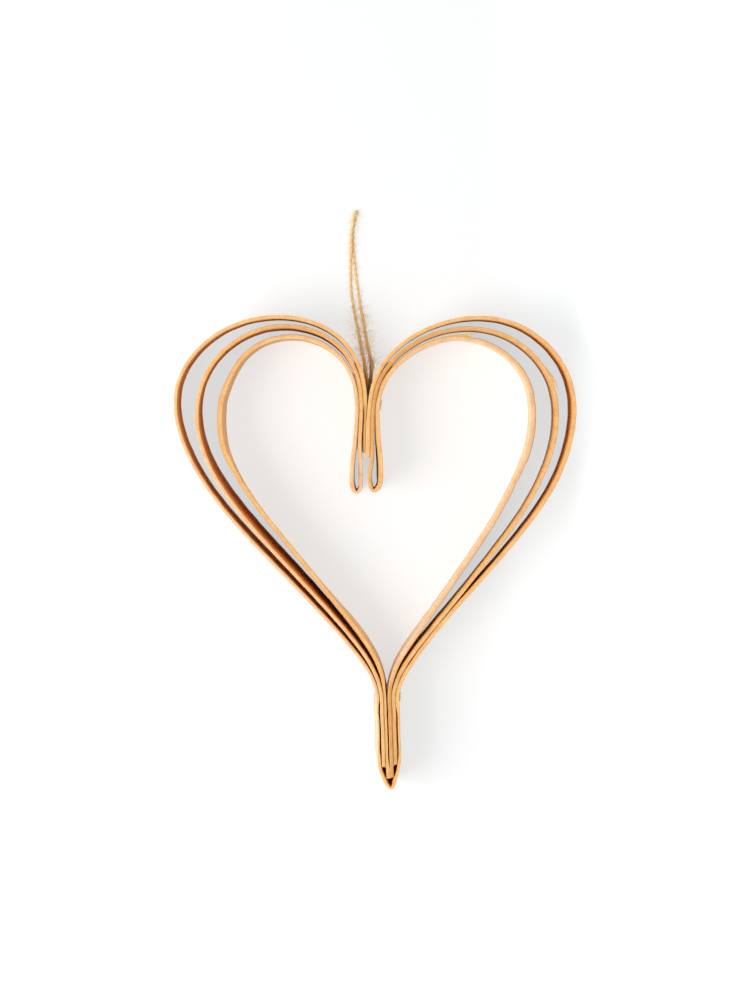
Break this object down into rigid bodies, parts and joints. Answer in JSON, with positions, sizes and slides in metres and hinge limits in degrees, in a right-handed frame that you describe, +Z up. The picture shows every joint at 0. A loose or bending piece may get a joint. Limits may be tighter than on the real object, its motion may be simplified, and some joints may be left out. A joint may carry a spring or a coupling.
{
  "type": "hanging heart ornament",
  "caption": "Heart bent from thin wooden strips that stand on edge in nested layers, stapled at the notch and the stem, with a loop of twine to hang it by.",
  "frame": {"origin": "middle of the heart's box at the back edges of its strips, which lie on the table", "axes": "+X to the heart's right as seen from above, +Y from its stem towards its notch, +Z up through the strips' width"},
  "size_m": [0.1606, 0.2334, 0.025],
  "materials": {
    "pale_wood": "raw planed strip with a darker side",
    "staple_wire": "plain round wire",
    "natural_twine": "two-ply natural fibre with loose hairs"
  },
  "bodies": {
    "root": {"outer_strip": "pale_wood", "left_strip": "pale_wood", "right_strip": "pale_wood", "notch_staple": "staple_wire", "stem_staple_left": "staple_wire", "stem_staple_right": "staple_wire", "hanging_twine": "natural_twine"}
  },
  "joints": []
}
